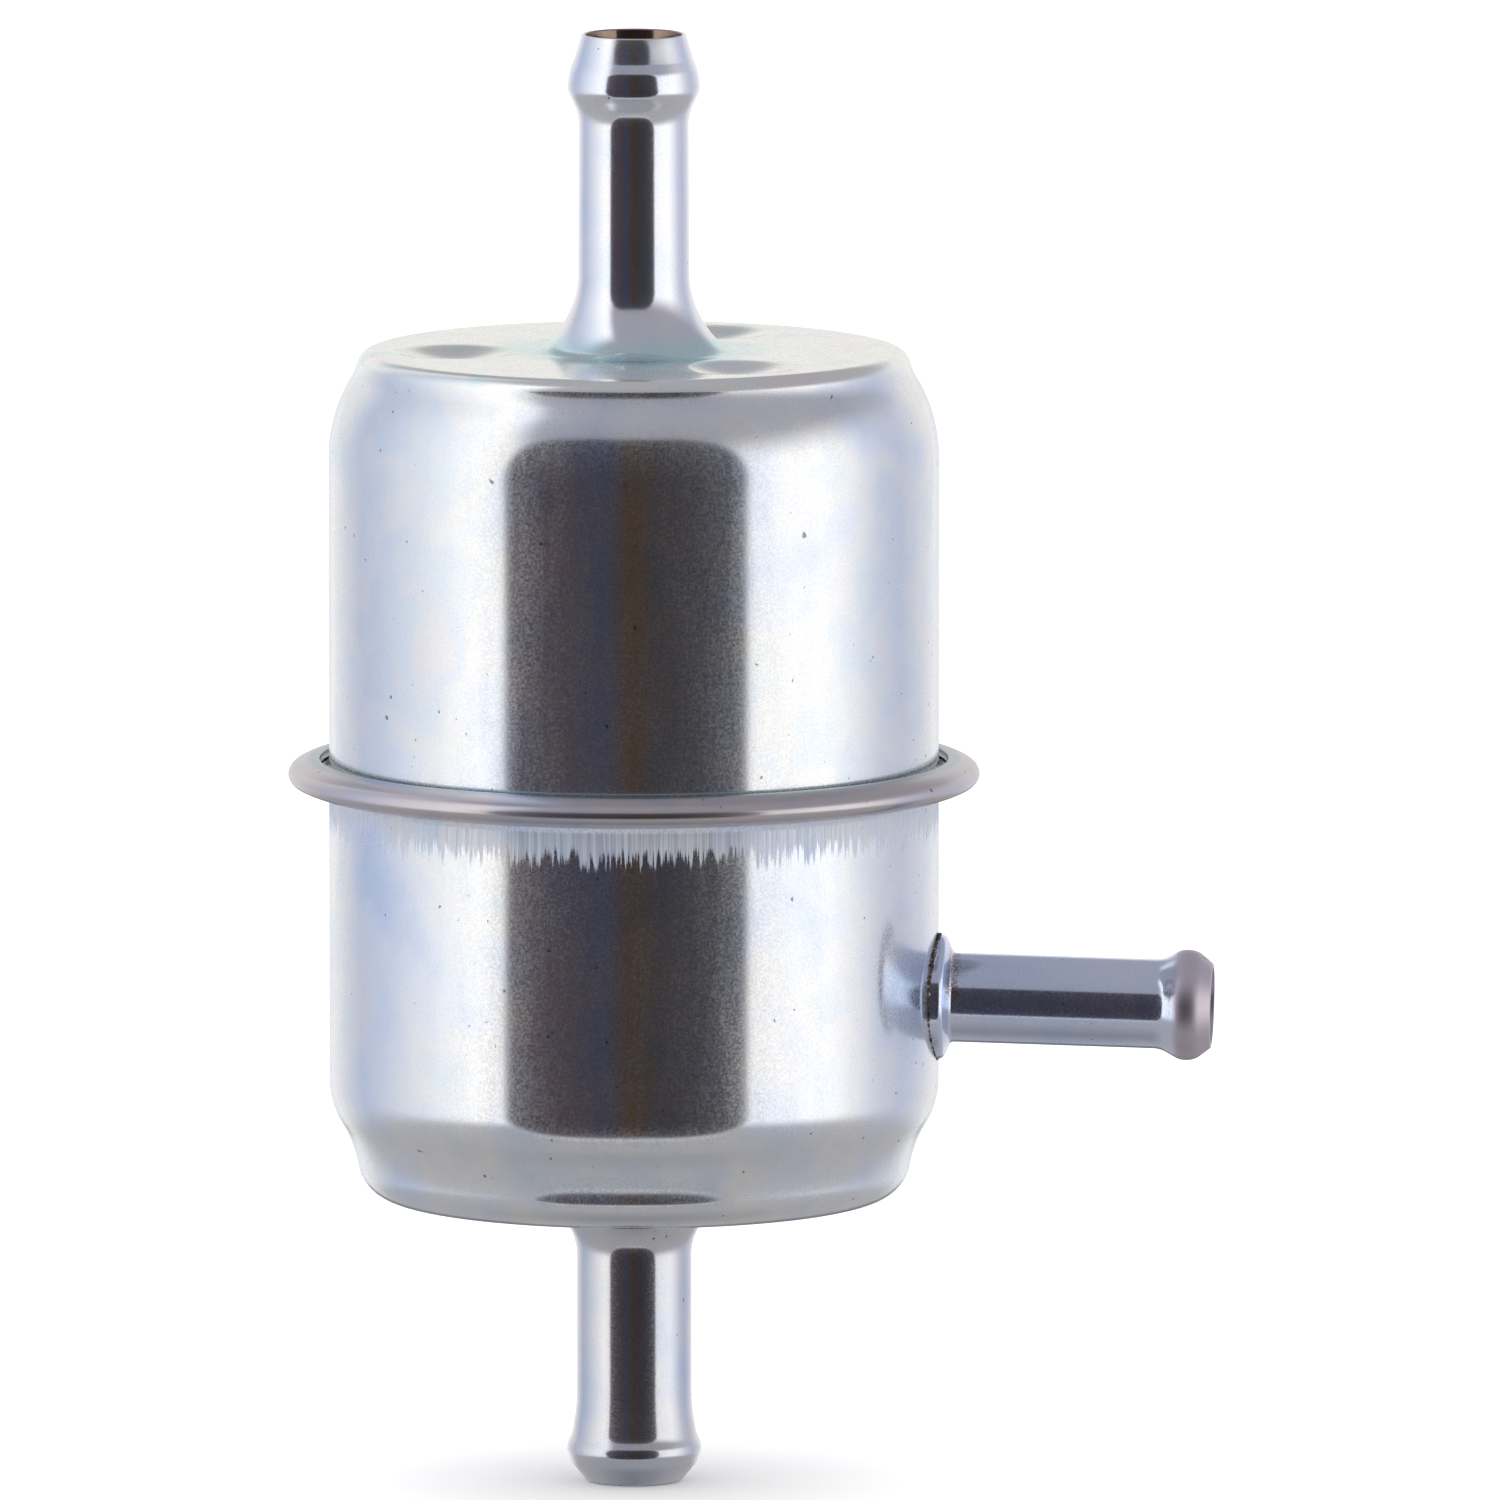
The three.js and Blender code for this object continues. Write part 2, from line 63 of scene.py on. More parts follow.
sheet_thickness = 0.6
can_radius = 21.5
can_steps = 180
sheet_step = 0.6
top_height = 30.1

flange_edge = (23.35, 0.5, 0.1)
flange_bend = (can_radius, 0.5, 0.5)
shoulder = (can_radius, 25.49, 9.0)
waist = (19.615, 28.63, 4.0)
top_corner = (19.25, top_height, 1.15)
neck_foot = (6.69, top_height, 1.9)
neck_sweep = (3.95, 32.4, 6.2)
barb_root = (3.87, 46.77, 3.4)
barb_edge = (4.73, 48.62, 1.2)
barb_dip = (4.5, 49.95, 1.5)
barb_nose = (4.21, 50.68, 1.5)
inlet_rim = (3.66, 52.5, 0.1)
inlet_lip = (3.4, 52.42, 0.06)
inlet_throat = (3.28, 51.6, 1.0)

dimple_angles = [math.radians(188 + 120 * i) for i in range(3)]
dimple_circle = 12.6
dimple_radius = 4.6
dimple_depth = 0.8


def inner_side(corners, thickness):
    """The corners of a sheet's inner face, which lies to the left of its outer face."""
    points = [Vector(corner[:2]) for corner in corners]
    ways = [(after - before).normalized() for before, after in zip(points, points[1:])]
    ways = [ways[0], *ways, ways[-1]]
    inner = []
    for point, before, after, (_, _, rounding) in zip(points, ways, ways[1:], corners):
        inwards = Vector((-before.y - after.y, before.x + after.x)).normalized()
        reach = thickness / max(0.2, inwards.dot(Vector((-after.y, after.x))))
        bend = before.x * after.y - before.y * after.x
        inner.append((*(point + inwards * reach), max(0.05, rounding - math.copysign(thickness, bend))))
    return inner


def round_corner(shape, point, radius):
    """Rounds one corner of a wire outline to a radius."""
    first, second = [edge.other_vert(point).co - point.co for edge in point.link_edges]
    turn = math.pi - first.angle(second)
    bmesh.ops.bevel(shape, geom=[point], offset=radius * math.tan(turn / 2), offset_type="OFFSET",
                    segments=max(2, math.ceil(turn / math.radians(5))), profile=0.5,
                    affect="VERTICES", material=-1, clamp_overlap=False)


def draw_outline(corners, longest):
    """A closed wire in the XZ plane through (radius, height, rounding) corners, in short runs."""
    shape = bmesh.new()
    points = [shape.verts.new((radius * MM, 0, height * MM)) for radius, height, _ in corners]
    for start, end in zip(points, points[1:] + points[:1]):
        shape.edges.new((start, end))
    for point, (_, _, rounding) in zip(points, corners):
        if rounding:
            round_corner(shape, point, rounding * MM)
    for edge in shape.edges[:]:
        cuts = int(edge.calc_length() / (longest * MM))
        if cuts:
            bmesh.ops.subdivide_edges(shape, edges=[edge], cuts=cuts)
    return shape


def turn_outline(shape, steps):
    """Turns a wire outline once round the Z axis into a smooth skin that faces outwards."""
    bmesh.ops.spin(shape, geom=shape.verts[:] + shape.edges[:], cent=(0, 0, 0), axis=(0, 0, 1),
                   angle=math.tau, steps=steps, use_merge=True)
    bmesh.ops.remove_doubles(shape, verts=shape.verts, dist=1e-7)
    bmesh.ops.recalc_face_normals(shape, faces=shape.faces)


def make_piece(shape, name, material, node):
    """A finished piece with its material, attached to the root body; the plain solid that it stands for is
    hidden.
    """
    mesh = bpy.data.meshes.new(name)
    shape.to_mesh(mesh)
    shape.free()
    mesh.shade_smooth()
    mesh.materials.append(material)
    piece = bpy.data.objects.new(name, mesh)
    bpy.context.scene.collection.objects.link(piece)
    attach(piece, "root")
    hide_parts(node)
    return piece


def add_node(tree, kind, inputs=None, **settings):
    """A shader node with its settings. An input given as a socket is linked to it."""
    made = tree.nodes.new(kind)
    for key, value in settings.items():
        setattr(made, key, value)
    for key, value in (inputs or {}).items():
        if isinstance(value, bpy.types.NodeSocket):
            tree.links.new(value, made.inputs[key])
        else:
            made.inputs[key].default_value = value
    return made


def colour_ramp(tree, factor, stops):
    """A colour ramp through (place, colour) stops."""
    ramp = add_node(tree, "ShaderNodeValToRGB", {"Fac": factor})
    for _ in stops[2:]:
        ramp.color_ramp.elements.new(0.5)
    for element, (place, colour) in zip(ramp.color_ramp.elements, stops):
        element.position = place
        element.color = (*colour, 1)
    return ramp.outputs["Color"]


def soft_step(tree, value, start, end, low=0.0, high=1.0):
    """Goes smoothly from one level to another as the value goes from start to end."""
    return add_node(tree, "ShaderNodeMapRange", {"Value": value, "From Min": start, "From Max": end,
                                                 "To Min": low, "To Max": high},
                    interpolation_type="SMOOTHSTEP").outputs["Result"]


def fade(tree, length, edges, low=0.0, high=1.0):
    """Goes smoothly from one level to another between two lengths, which are in millimetres."""
    return soft_step(tree, length, edges[0] * MM, edges[1] * MM, low, high)


def maths(tree, operation, *values):
    return add_node(tree, "ShaderNodeMath", dict(enumerate(values)), operation=operation).outputs[0]


def noise(tree, place, scale, detail=2.0, roughness=0.5):
    return add_node(tree, "ShaderNodeTexNoise", {"Vector": place, "Scale": scale, "Detail": detail,
                                                 "Roughness": roughness}).outputs["Fac"]


def stretched(tree, place, scale):
    """Coordinates drawn out along an axis, for streaks."""
    return add_node(tree, "ShaderNodeMapping", {"Vector": place, "Scale": scale}).outputs["Vector"]


def blend_colour(tree, factor, first, second, blend_type="MIX"):
    return add_node(tree, "ShaderNodeMix", {"Factor": factor, 6: first, 7: second},
                    data_type="RGBA", blend_type=blend_type).outputs[2]


def tint(tree, where, colour, tint_colour):
    """The colour, multiplied by a tint where a mask says so."""
    tinted = blend_colour(tree, 1.0, colour, tint_colour, "MULTIPLY")
    return blend_colour(tree, where, colour, tinted)


def from_axis(tree, place):
    """How high a point lies, how far from the filter's axis, and where seen from above."""
    axes = add_node(tree, "ShaderNodeSeparateXYZ", {"Vector": place}).outputs
    level = add_node(tree, "ShaderNodeCombineXYZ", {"X": axes["X"], "Y": axes["Y"]}).outputs["Vector"]
    radius = add_node(tree, "ShaderNodeVectorMath", {0: level}, operation="LENGTH").outputs["Value"]
    return axes["Z"], radius, level


def start_material(name):
    """A new material, with its tree, its shader and its object coordinates."""
    material = bpy.data.materials.new(name)
    material.use_nodes = True
    tree = material.node_tree
    place = add_node(tree, "ShaderNodeTexCoord").outputs["Object"]
    return material, tree, tree.nodes["Principled BSDF"], place


film_patches = 95
pit_spacing = 1500
pit_colour = (0.4, 0.36, 0.34)
crystal_spacing = 5200
crystal_haze = (0.14, 0.54)
wear_spacing = 700
wear_haze = (0.75, 1.25)
grain_spacing = 3600
grain_depth = 0.006
wave_spacing = 120
wave_depth = 0.016
polish = 0.12
can_satin = 0.38


def start_zinc(name, tints):
    """Zinc with a thin passivation film: its tree, coordinates and film colour with pits."""
    material, tree, _, place = start_material(name)
    film = colour_ramp(tree, noise(tree, place, film_patches, 3.0, 0.6), tints)
    pits = colour_ramp(tree, noise(tree, place, pit_spacing, 1.0), [(0.2, pit_colour), (0.235, (1, 1, 1))])
    return material, tree, place, blend_colour(tree, 1.0, film, pits, "MULTIPLY")


def finish_zinc(tree, place, colour, scuff=0.0, clear=1.0, satin=can_satin, metal=1.0):
    """Fine crystal grain: a polished face with hazy crystals in it, hazier where it is scuffed."""
    wear = noise(tree, stretched(tree, place, (1, 1, 0.12)), wear_spacing, 4.0, 0.6)
    crystals = soft_step(tree, noise(tree, place, crystal_spacing, 2.0, 0.7), 0.34, 0.68, *crystal_haze)
    crystals = maths(tree, "MULTIPLY", crystals, soft_step(tree, wear, 0.3, 0.7, *wear_haze))
    haze = maths(tree, "MAXIMUM", maths(tree, "MULTIPLY", crystals, clear), scuff)
    grain = add_node(tree, "ShaderNodeBump", {
        "Height": noise(tree, place, grain_spacing, 2.0, 0.6), "Strength": 0.25,
        "Distance": grain_depth * MM}).outputs["Normal"]
    waves = add_node(tree, "ShaderNodeBump", {
        "Height": noise(tree, place, wave_spacing, 2.0), "Normal": grain, "Strength": 1.0,
        "Distance": wave_depth * MM}).outputs["Normal"]
    polished = tree.nodes["Principled BSDF"]
    hazy = add_node(tree, "ShaderNodeBsdfPrincipled", {"Roughness": satin, "Metallic": metal})
    polished.inputs["Roughness"].default_value = polish
    polished.inputs["Metallic"].default_value = 1.0
    for shader in (polished, hazy):
        tree.links.new(colour, shader.inputs["Base Color"])
        tree.links.new(waves, shader.inputs["Normal"])
    both = add_node(tree, "ShaderNodeMixShader", {0: haze, 1: polished.outputs[0],
                                                  2: hazy.outputs[0]})
    tree.links.new(both.outputs[0], tree.nodes["Material Output"].inputs["Surface"])


can_tints = [(0.28, (0.69, 0.76, 0.88)), (0.42, (0.81, 0.84, 0.90)), (0.52, (0.88, 0.87, 0.86)),
             (0.62, (0.78, 0.83, 0.88)), (0.75, (0.89, 0.84, 0.83))]
top_tints = [(0.30, (0.78, 0.92, 0.90)), (0.43, (0.97, 0.95, 0.89)), (0.55, (0.90, 0.95, 0.94)),
             (0.68, (0.98, 0.90, 0.87))]
foot_tint = (0.74, 0.92, 0.95, 1)
neck_tint = (0.95, 0.95, 1.0, 1)
# Dark brown for the inside of the inlet mouth.
mouth_dark_brown = (0.30, 0.22, 0.17, 1)
flat_bottom_fade = (28.6, 29.8)
flat_top_fade = (31.8, 30.6)
foot_fade = (10.2, 7.8)
neck_fade = (30.4, 32.0)
mouth_fade = (3.6, 3.4)
neck_shine = 0.65

upper_zinc, tree, place, colour = start_zinc("upper can zinc", can_tints)
height, radius, _ = from_axis(tree, place)
flat_film = colour_ramp(tree, noise(tree, place, 170, 2.0), top_tints)
on_flat = maths(tree, "MULTIPLY", fade(tree, height, flat_bottom_fade), fade(tree, height, flat_top_fade))
colour = blend_colour(tree, on_flat, colour, flat_film)
colour = tint(tree, maths(tree, "MULTIPLY", on_flat, fade(tree, radius, foot_fade)), colour, foot_tint)
on_neck = fade(tree, height, neck_fade)
colour = tint(tree, on_neck, colour, neck_tint)
# The inside of the inlet mouth is painted dark brown.
in_mouth = maths(tree, "MULTIPLY", on_neck, fade(tree, radius, mouth_fade))
colour = blend_colour(tree, in_mouth, colour, mouth_dark_brown)
clear = maths(tree, "SUBTRACT", 1.0, maths(tree, "MULTIPLY", on_neck, neck_shine))
finish_zinc(tree, place, colour, clear=clear)

outside = [flange_edge, flange_bend, shoulder, waist, top_corner, neck_foot, neck_sweep, barb_root,
           barb_edge, barb_dip, barb_nose, inlet_rim]
inside = inner_side(outside, sheet_thickness)[:-3]
upper = draw_outline([*outside, inlet_lip, inlet_throat, *reversed(inside)], sheet_step)
turn_outline(upper, can_steps)
for vert in upper.verts:
    depth = top_height * MM - vert.co.z
    if min(abs(depth), abs(depth - sheet_thickness * MM)) < 1e-6:
        for angle in dimple_angles:
            centre = Vector((math.cos(angle), math.sin(angle))) * dimple_circle * MM
            reach = (vert.co.xy - centre).length / (dimple_radius * MM)
            if reach < 1:
                vert.co.z -= dimple_depth * MM * (1 - reach ** 2) ** 1.5
make_piece(upper, "upper_can_drawn", upper_zinc, "upper_can")

# ---- Lower can --------------------------------------------------------------------------------
# A second cup of the same zinc plated sheet, drawn down into the outlet nipple, with a round hole
# in its side for the return nipple. Its flange is rolled up and over the upper can's flange into
# the hem, which the rolls dulled, and the draw ring left a scuffed band of short scores below it.

outlet_lip = (3.02, -50.22, 0.05)
outlet_rim = (3.3, -50.3, 0.3)
bead_nose = (4.42, -48.95, 1.6)
bead_edge = (4.8, -47.85, 1.0)
bead_flare = (4.38, -46.95, 2.0)
bead_root = (4.05, -44.8, 9.0)
outlet_foot = (4.05, -30.0, 4.2)
bottom_corner = (19.08, -30.0, 2.6)
lower_waist = (19.726, -26.15, 8.0)
lower_shoulder = (can_radius, -23.2, 5.0)
hem_fillet = (can_radius, -1.02, 0.6)
hem_under = (23.04, -1.02, 3.3)
hem_lower_edge = (24.38, -0.398, 0.69)
hem_upper_edge = (24.38, 0.53, 0.84)
hem_crest = (23.16, 1.225, 2.83)
hem_lip = (22.15, 1.225, 0.12)

return_height = -15.63
return_hole = 3.4

hem_tint = (0.76, 0.70, 0.71, 1)
# A teal painted reflection on the upper inner slope of the hem.
painted_reflection_tint = (0.66, 0.84, 0.86, 1)
outlet_tint = (0.82, 0.81, 0.83, 1)
scored_tint = (0.88, 0.91, 0.97, 1)
hem_fade = (21.7, 22.1)
hem_slope_fade = (23.3, 22.7)
hem_floor_fade = (0.8, 1.1)
hem_haze = 0.62
band_top_fade = (-0.8, -1.2)
band_bottom_fade = (-3.0, -2.3)
band_satin = 0.75
band_metal = 0.74
score_length = 1.6
score_spacing = 3300
fine_score_spacing = 6500
shoulder_fade = (-22.4, -22.9)
shoulder_rag = 1.6
shoulder_patches = 500
shoulder_haze = 0.22
outlet_fade = (-30.5, -32.5)
outlet_grain_fade = (-31.0, -33.0)
wall_grain = 1.15
outlet_grain = 0.8

lower_zinc, tree, place, colour = start_zinc("lower can zinc", can_tints)
height, radius, level = from_axis(tree, place)
on_hem = fade(tree, radius, hem_fade)
colour = tint(tree, on_hem, colour, hem_tint)
# Painted reflection: the upper inner slope of the hem is tinted teal.
hem_painted_reflection = maths(tree, "MULTIPLY", fade(tree, radius, hem_slope_fade), fade(tree, height, hem_floor_fade))
colour = tint(tree, hem_painted_reflection, colour, painted_reflection_tint)
colour = tint(tree, fade(tree, height, outlet_fade), colour, outlet_tint)
scores = soft_step(tree, noise(tree, level, score_spacing, 2.0, 0.7), 0.35, 0.68, 0.0, score_length * MM)
scored = maths(tree, "MULTIPLY", fade(tree, maths(tree, "ADD", height, scores), band_bottom_fade),
               fade(tree, height, band_top_fade))
colour = tint(tree, scored, colour, scored_tint)
fine_scores = soft_step(tree, noise(tree, level, fine_score_spacing, 1.0), 0.35, 0.65, 0.72, 1.0)
ragged = maths(tree, "MULTIPLY", noise(tree, place, shoulder_patches, 3.0, 0.7), shoulder_rag * MM)
dulled = fade(tree, maths(tree, "ADD", height, ragged), shoulder_fade, 0.0, shoulder_haze)
scuff = maths(tree, "MAXIMUM", maths(tree, "MULTIPLY", scored, fine_scores), dulled)
scuff = maths(tree, "MAXIMUM", scuff, maths(tree, "MULTIPLY", on_hem, hem_haze))
satin = soft_step(tree, scored, 0.0, 1.0, can_satin, band_satin)
metal = soft_step(tree, scored, 0.0, 1.0, 1.0, band_metal)
clear = fade(tree, height, outlet_grain_fade, wall_grain, outlet_grain)
finish_zinc(tree, place, colour, scuff, clear, satin, metal)

outside = [outlet_rim, bead_nose, bead_edge, bead_flare, bead_root, outlet_foot, bottom_corner,
           lower_waist, lower_shoulder, hem_fillet, hem_under, hem_lower_edge, hem_upper_edge, hem_crest,
           hem_lip]
inside = inner_side(outside, sheet_thickness)[1:]
lower = draw_outline([*outside, *reversed(inside), outlet_lip], sheet_step)
turn_outline(lower, can_steps)


def from_hole(point):
    """How far a point lies from the middle of the hole, seen along the nipple."""
    return Vector((point.y, point.z - return_height * MM))


bmesh.ops.delete(lower, context="FACES", geom=[
    face for face in lower.faces
    if face.calc_center_median().x > 0 and from_hole(face.calc_center_median()).length < return_hole * MM])
hole_rims = [edge for edge in lower.edges if edge.is_boundary]
for vert in {vert for edge in hole_rims for vert in edge.verts}:
    wall_radius = vert.co.xy.length
    off_centre = from_hole(vert.co).normalized() * return_hole * MM
    vert.co = (math.sqrt(wall_radius ** 2 - off_centre.x ** 2), off_centre.x,
               return_height * MM + off_centre.y)
bmesh.ops.bridge_loops(lower, edges=hole_rims)
bmesh.ops.recalc_face_normals(lower, faces=lower.faces)
make_piece(lower, "lower_can_drawn", lower_zinc, "lower_can")

# ---- Seam seal --------------------------------------------------------------------------------
# A thin ring of black nitrile rubber, laid between the two flanges before the seam is rolled and
# squeezed flat there.

inner_steps = 120
skin_depth = 0.01
seal_section = [(22.05, -0.37, 0.08), (23.25, -0.37, 0.08), (23.25, -0.15, 0.08), (22.05, -0.15, 0.08)]

nitrile, tree, shader, place = start_material("black nitrile rubber")
bloom = colour_ramp(tree, noise(tree, place, 400, 4.0, 0.6),
                    [(0.3, (0.012, 0.012, 0.013)), (0.7, (0.03, 0.029, 0.028))])
skin = add_node(tree, "ShaderNodeBump", {
    "Height": noise(tree, place, 2500, 2.0), "Strength": 0.4,
    "Distance": skin_depth * MM}).outputs["Normal"]
tree.links.new(bloom, shader.inputs["Base Color"])
tree.links.new(skin, shader.inputs["Normal"])
shader.inputs["Roughness"].default_value = 0.6

seal = draw_outline(seal_section, sheet_step)
turn_outline(seal, inner_steps)
make_piece(seal, "seam_seal_ring", nitrile, "seam_seal")

# ---- Return nipple ----------------------------------------------------------------------------
# A piece of 6.3 mm zinc plated steel tube. One end is upset into a collar that is shaped to sit
# on the can, and the other is swaged into a rounded hose bead. It leans a little, as it was
# brazed, and the heat left a brown bloom beside the collar.

tube_radius = 3.15
tube_start = -1.9
collar_radius = 4.4
collar_corner = (collar_radius, 0.45, 0.5)
collar_root = (tube_radius, 1.0, 0.3)
collar_back = -0.4
seat_clearance = 0.06
tube_steps = 96
tube_step = 0.5
bead_root = (tube_radius, 15.78, 1.7)
bead_crest = (4.24, 17.8, 1.6)
tube_rim = (2.97, 19.36, 0.15)
tube_lip = (2.7, 19.38, 0.06)
tube_throat = (2.62, 18.9, 0.3)
tube_bore = 2.45
return_lean = math.radians(1.4)

lie_along_x = (Matrix.Translation((can_radius * MM, 0, return_height * MM))
               @ Matrix.Rotation(return_lean + math.pi / 2, 4, "Y"))


def seat_on_can(shape, reach, clearance):
    """Slides the corners behind a reach along the nipple onto the can's round wall."""
    for vert in shape.verts:
        if vert.co.z < reach * MM and vert.co.xy.length > return_hole * MM:
            wall = math.sqrt((can_radius * MM) ** 2 - vert.co.y ** 2)
            vert.co.z += wall - can_radius * MM + (clearance - collar_back) * MM


tube_tints = [(0.28, (0.66, 0.75, 0.95)), (0.5, (0.75, 0.81, 0.97)), (0.72, (0.83, 0.85, 0.95))]
bead_tint = (0.92, 0.78, 0.74, 1)
bloom_tint = (0.62, 0.47, 0.38, 1)
bead_fade = (38.0, 38.6)
bloom_end_fade = (23.3, 22.9)
bloom_start_fade = (22.2, 22.5)
bloom_height_fade = (-15.6, -14.8)
bloom_spots = 5600
tube_grain = 0.6
bead_satin = 0.46

tube_zinc, tree, place, colour = start_zinc("return nipple zinc", tube_tints)
axes = add_node(tree, "ShaderNodeSeparateXYZ", {"Vector": place}).outputs
along = axes["X"]
on_bead = fade(tree, along, bead_fade)
colour = tint(tree, on_bead, colour, bead_tint)
near_collar = maths(tree, "MULTIPLY", fade(tree, along, bloom_end_fade), fade(tree, along, bloom_start_fade))
near_collar = maths(tree, "MULTIPLY", near_collar, fade(tree, axes["Z"], bloom_height_fade))
spots = soft_step(tree, noise(tree, place, bloom_spots, 2.0, 0.7), 0.42, 0.55)
colour = tint(tree, maths(tree, "MULTIPLY", near_collar, spots), colour, bloom_tint)
finish_zinc(tree, place, colour, scuff=on_bead, clear=tube_grain, satin=bead_satin)

tube = draw_outline([
    (tube_bore, tube_start, 0.1), (tube_radius, tube_start, 0.1), (tube_radius, collar_back, 0.05),
    (collar_radius, collar_back, 0.05), collar_corner, collar_root, bead_root, bead_crest, tube_rim,
    tube_lip, tube_throat, (tube_bore, 17.7, 1.0)], tube_step)
turn_outline(tube, tube_steps)
seat_on_can(tube, collar_back + 0.1, seat_clearance)
bmesh.ops.transform(tube, matrix=lie_along_x, verts=tube.verts)
make_piece(tube, "return_nipple_tube", tube_zinc, "return_nipple")

# ---- Braze ------------------------------------------------------------------------------------
# The filler that ran into the joint between the collar and the can. It set as a narrow, uneven,
# flux-stained bead round the collar.

braze_radius = 4.42
braze_inner = braze_radius - 1.3
braze_thickness = 0.16
braze_steps = 220

braze_metal, tree, shader, place = start_material("flux-stained braze")
stain = colour_ramp(tree, noise(tree, place, 3200, 3.0, 0.7),
                    [(0.40, (0.018, 0.013, 0.012)), (0.56, (0.11, 0.07, 0.05)), (0.64, (0.42, 0.36, 0.33)),
                     (0.70, (0.8, 0.76, 0.74))])
tree.links.new(stain, shader.inputs["Base Color"])
shader.inputs["Metallic"].default_value = 0.7
shader.inputs["Roughness"].default_value = 0.5

random.seed(7)
lumps = [random.uniform(0.75, 1.3) for _ in range(braze_steps)]
braze = draw_outline([
    (braze_inner, collar_back - 0.06, 0.02), (braze_radius + 0.1, collar_back - 0.06, 0.02),
    (braze_radius + 0.04, collar_back + 0.12, 0.06), (braze_inner, collar_back + 0.1, 0.02)], 0.1)
turn_outline(braze, braze_steps)
for vert in braze.verts:
    if vert.co.xy.length > (braze_radius - 0.1) * MM:
        lump = lumps[round(math.atan2(vert.co.y, vert.co.x) / math.tau * braze_steps) % braze_steps]
        vert.co.xy *= 1 + (lump - 1) * braze_thickness / braze_radius
        vert.co.z += (lump - 1) * braze_thickness * MM
seat_on_can(braze, 10, 0.0)
bmesh.ops.transform(braze, matrix=lie_along_x, verts=braze.verts)
make_piece(braze, "braze_bead", braze_metal, "braze_ring")

# ---- Return restrictor ------------------------------------------------------------------------
# A turned brass plug pressed into the can end of the return tube. Its small countersunk hole
# meters the flow back to the tank.

restrictor_radius = 2.35
restrictor_start = -1.0
restrictor_length = 5.0
metering_radius = 0.75
countersink = 0.8

brass, tree, shader, place = start_material("turned brass")
turning = noise(tree, stretched(tree, place, (12, 1, 1)), 500, 2.0)
tree.links.new(colour_ramp(tree, turning, [(0.3, (0.62, 0.42, 0.16)), (0.7, (0.78, 0.58, 0.27))]),
               shader.inputs["Base Color"])
tree.links.new(soft_step(tree, turning, 0.3, 0.7, 0.2, 0.35), shader.inputs["Roughness"])
shader.inputs["Metallic"].default_value = 1.0

restrictor_end = restrictor_start + restrictor_length
restrictor = draw_outline([
    (metering_radius, restrictor_start, 0.1), (restrictor_radius, restrictor_start, 0.3),
    (restrictor_radius, restrictor_end, 0.1), (metering_radius + countersink, restrictor_end, 0.05),
    (metering_radius, restrictor_end - countersink, 0.1)], 0.4)
turn_outline(restrictor, 64)
bmesh.ops.transform(restrictor, matrix=lie_along_x, verts=restrictor.verts)
make_piece(restrictor, "restrictor_plug", brass, "return_restrictor")

# ---- End caps ---------------------------------------------------------------------------------
# Two shallow dishes pressed from 0.4 mm tinned steel. The upper one is closed, with a ring pressed
# in to stiffen it, and the lower one has the outlet opening, with a collar turned up round it.

cap_radius = 17.5
cap_thickness = 0.4
cap_top = 28.5
cap_bottom = -27.5
cap_rim = 3.0
cap_collar = 1.6
outlet_opening = 6.0
ring_outer = 13.2
ring_inner = 8.9
ring_slope = 0.7
ring_depth = 0.35

tinned_steel, tree, shader, place = start_material("tinned steel")
spangle = noise(tree, place, 320, 2.0, 0.4)
tree.links.new(colour_ramp(tree, spangle, [(0.35, (0.55, 0.55, 0.54)), (0.65, (0.68, 0.68, 0.67))]),
               shader.inputs["Base Color"])
tree.links.new(soft_step(tree, spangle, 0.3, 0.7, 0.28, 0.42), shader.inputs["Roughness"])
shader.inputs["Metallic"].default_value = 1.0

outside = [(cap_radius, cap_top - cap_rim, 0.05), (cap_radius, cap_top, 0.8),
           (ring_outer, cap_top, 0.5), (ring_outer - ring_slope, cap_top - ring_depth, 0.5),
           (ring_inner + ring_slope, cap_top - ring_depth, 0.5), (ring_inner, cap_top, 0.5),
           (0.0, cap_top, 0)]
inside = inner_side(outside[:-1], cap_thickness) + [(0.0, cap_top - cap_thickness, 0)]
closed_cap = draw_outline([*outside, *reversed(inside)], sheet_step)
bmesh.ops.delete(closed_cap, context="EDGES", geom=[
    edge for edge in closed_cap.edges if all(vert.co.x < 1e-6 for vert in edge.verts)])
turn_outline(closed_cap, inner_steps)
make_piece(closed_cap, "closed_end_cap_pressing", tinned_steel, "closed_end_cap")

outside = [(outlet_opening, cap_bottom + cap_collar, 0.05), (outlet_opening, cap_bottom, 0.5),
           (cap_radius, cap_bottom, 0.8), (cap_radius, cap_bottom + cap_rim, 0.05)]
open_cap = draw_outline([*outside, *reversed(inner_side(outside, cap_thickness))], sheet_step)
turn_outline(open_cap, inner_steps)
make_piece(open_cap, "open_end_cap_pressing", tinned_steel, "open_end_cap")

# ---- Potting ----------------------------------------------------------------------------------
# Red plastisol poured into each cap, which cures round the pleat ends. It creeps a little way up
# the rim of each cap.

potting_thickness = 1.2
potting_radius = cap_radius - 3 * cap_thickness - 0.1
creep = 0.15
creep_outer = 14.5
creep_inner = 8.5

plastisol, tree, shader, place = start_material("red plastisol")
cure = noise(tree, place, 260, 3.0)
tree.links.new(colour_ramp(tree, cure, [(0.3, (0.42, 0.035, 0.02)), (0.7, (0.52, 0.06, 0.035))]),
               shader.inputs["Base Color"])
tree.links.new(soft_step(tree, cure, 0.3, 0.7, 0.38, 0.55), shader.inputs["Roughness"])

